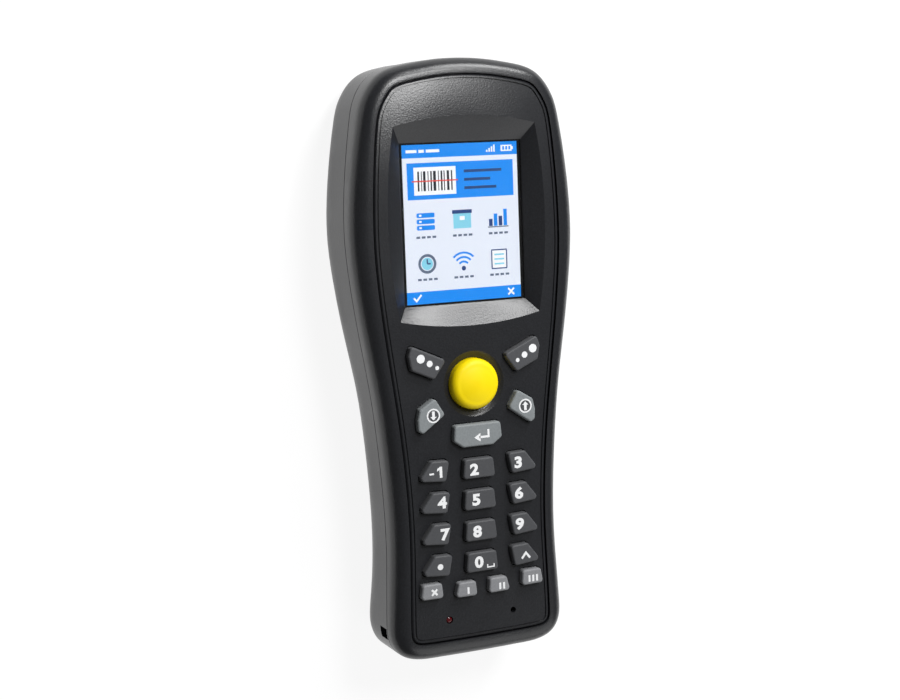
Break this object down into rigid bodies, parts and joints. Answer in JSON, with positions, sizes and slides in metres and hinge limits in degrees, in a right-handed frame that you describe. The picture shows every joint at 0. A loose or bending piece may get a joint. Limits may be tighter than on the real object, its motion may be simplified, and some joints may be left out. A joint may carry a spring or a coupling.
{
  "type": "portable barcode data terminal",
  "caption": "One-hand data terminal with a wide head, a screen in a sloped recess, a waisted grip, a domed scan key over a number pad and a lift-off battery door.",
  "frame": {"origin": "middle of the flat back, at the centre of the housing's length and width", "axes": "+X across to the terminal's right as seen from its face, +Y along it towards the reading end, +Z out of the face"},
  "size_m": [0.067, 0.1673, 0.0315],
  "materials": {
    "case_black": "fine spark texture",
    "panel_black": "fine spark texture",
    "case_grey": "matte texture",
    "window": "clear, polished",
    "scan_glass": "red filter, polished",
    "screen": "lit display",
    "tray": "matte",
    "foam": "matte foam",
    "silicone": "matte",
    "board": "solder mask",
    "tin": "tinned sheet",
    "chip": "moulded",
    "ceramic": "ceramic",
    "engine_black": "matte",
    "steel": "zinc plated",
    "battery_wrap": "shrink film",
    "contacts": "gold plated",
    "red_lens": "tinted, polished",
    "key_yellow": "satin",
    "key_dark": "matte coated silicone",
    "key_grey": "matte coated silicone",
    "key_light": "matte coated silicone"
  },
  "bodies": {
    "housing": {"front_case": "case_black", "face_panel": "panel_black", "rear_case": "case_grey", "display_window": "window", "lcd_panel": "screen", "lcd_frame": "tray", "lcd_gasket": "foam", "keypad_mat": "silicone", "main_board": "board", "processor_shield": "tin", "memory_chip": "chip", "radio_module": "tin", "radio_antenna": "ceramic", "scan_engine": "engine_black", "engine_bracket": "steel", "scan_window": "scan_glass", "battery_contacts": "contacts", "usb_port": "steel", "buzzer": "engine_black", "indicator_led": "red_lens", "case_screws": "steel", "board_screws": "steel", "bracket_screws": "steel"},
    "door": {"battery_door": "case_grey"},
    "battery": {"battery": "battery_wrap"},
    "key_1": {"key_1": "key_dark"},
    "key_2": {"key_2": "key_dark"},
    "key_3": {"key_3": "key_dark"},
    "key_4": {"key_4": "key_dark"},
    "key_5": {"key_5": "key_dark"},
    "key_6": {"key_6": "key_dark"},
    "key_7": {"key_7": "key_dark"},
    "key_8": {"key_8": "key_dark"},
    "key_9": {"key_9": "key_dark"},
    "key_dot": {"key_dot": "key_dark"},
    "key_0": {"key_0": "key_dark"},
    "key_control": {"key_control": "key_dark"},
    "key_enter": {"key_enter": "key_grey"},
    "key_up": {"key_up": "key_grey"},
    "key_down": {"key_down": "key_grey"},
    "dots_key_left": {"dots_key_left": "key_grey"},
    "dots_key_right": {"dots_key_right": "key_grey"},
    "function_key_1": {"function_key_1": "key_light"},
    "function_key_2": {"function_key_2": "key_light"},
    "function_key_3": {"function_key_3": "key_light"},
    "function_key_4": {"function_key_4": "key_light"},
    "scan_key": {"scan_key": "key_yellow"}
  },
  "joints": [
    {"name": "key_1_press", "type": "slide", "parent": "housing", "child": "key_1", "axis": [0, 0, -1], "range_m": [0, 0.0012], "stiffness_N_per_m": 500},
    {"name": "key_2_press", "type": "slide", "parent": "housing", "child": "key_2", "axis": [0, 0, -1], "range_m": [0, 0.0012], "stiffness_N_per_m": 500},
    {"name": "key_3_press", "type": "slide", "parent": "housing", "child": "key_3", "axis": [0, 0, -1], "range_m": [0, 0.0012], "stiffness_N_per_m": 500},
    {"name": "key_4_press", "type": "slide", "parent": "housing", "child": "key_4", "axis": [0, 0, -1], "range_m": [0, 0.0012], "stiffness_N_per_m": 500},
    {"name": "key_5_press", "type": "slide", "parent": "housing", "child": "key_5", "axis": [0, 0, -1], "range_m": [0, 0.0012], "stiffness_N_per_m": 500},
    {"name": "key_6_press", "type": "slide", "parent": "housing", "child": "key_6", "axis": [0, 0, -1], "range_m": [0, 0.0012], "stiffness_N_per_m": 500},
    {"name": "key_7_press", "type": "slide", "parent": "housing", "child": "key_7", "axis": [0, 0, -1], "range_m": [0, 0.0012], "stiffness_N_per_m": 500},
    {"name": "key_8_press", "type": "slide", "parent": "housing", "child": "key_8", "axis": [0, 0, -1], "range_m": [0, 0.0012], "stiffness_N_per_m": 500},
    {"name": "key_9_press", "type": "slide", "parent": "housing", "child": "key_9", "axis": [0, 0, -1], "range_m": [0, 0.0012], "stiffness_N_per_m": 500},
    {"name": "key_dot_press", "type": "slide", "parent": "housing", "child": "key_dot", "axis": [0, 0, -1], "range_m": [0, 0.0012], "stiffness_N_per_m": 500},
    {"name": "key_0_press", "type": "slide", "parent": "housing", "child": "key_0", "axis": [0, 0, -1], "range_m": [0, 0.0012], "stiffness_N_per_m": 500},
    {"name": "key_control_press", "type": "slide", "parent": "housing", "child": "key_control", "axis": [0, 0, -1], "range_m": [0, 0.0012], "stiffness_N_per_m": 500},
    {"name": "key_enter_press", "type": "slide", "parent": "housing", "child": "key_enter", "axis": [0, 0, -1], "range_m": [0, 0.0012], "stiffness_N_per_m": 500},
    {"name": "key_up_press", "type": "slide", "parent": "housing", "child": "key_up", "axis": [0, 0, -1], "range_m": [0, 0.0012], "stiffness_N_per_m": 500},
    {"name": "key_down_press", "type": "slide", "parent": "housing", "child": "key_down", "axis": [0, 0, -1], "range_m": [0, 0.0012], "stiffness_N_per_m": 500},
    {"name": "dots_key_left_press", "type": "slide", "parent": "housing", "child": "dots_key_left", "axis": [0, 0, -1], "range_m": [0, 0.0012], "stiffness_N_per_m": 500},
    {"name": "dots_key_right_press", "type": "slide", "parent": "housing", "child": "dots_key_right", "axis": [0, 0, -1], "range_m": [0, 0.0012], "stiffness_N_per_m": 500},
    {"name": "function_key_1_press", "type": "slide", "parent": "housing", "child": "function_key_1", "axis": [0, 0, -1], "range_m": [0, 0.0012], "stiffness_N_per_m": 500},
    {"name": "function_key_2_press", "type": "slide", "parent": "housing", "child": "function_key_2", "axis": [0, 0, -1], "range_m": [0, 0.0012], "stiffness_N_per_m": 500},
    {"name": "function_key_3_press", "type": "slide", "parent": "housing", "child": "function_key_3", "axis": [0, 0, -1], "range_m": [0, 0.0012], "stiffness_N_per_m": 500},
    {"name": "function_key_4_press", "type": "slide", "parent": "housing", "child": "function_key_4", "axis": [0, 0, -1], "range_m": [0, 0.0012], "stiffness_N_per_m": 500},
    {"name": "scan_key_press", "type": "slide", "parent": "housing", "child": "scan_key", "axis": [0, 0, -1], "range_m": [0, 0.0012], "stiffness_N_per_m": 500},
    {"name": "door_lift", "type": "slide", "parent": "housing", "child": "door", "axis": [0, 0, -1], "range_m": [0, 0.04]},
    {"name": "battery_lift", "type": "slide", "parent": "housing", "child": "battery", "axis": [0, 0, -1], "range_m": [0, 0.02]}
  ],
  "couplings": [
    {"joint": "battery_lift", "follows": "door_lift", "ratio": 0.5}
  ]
}
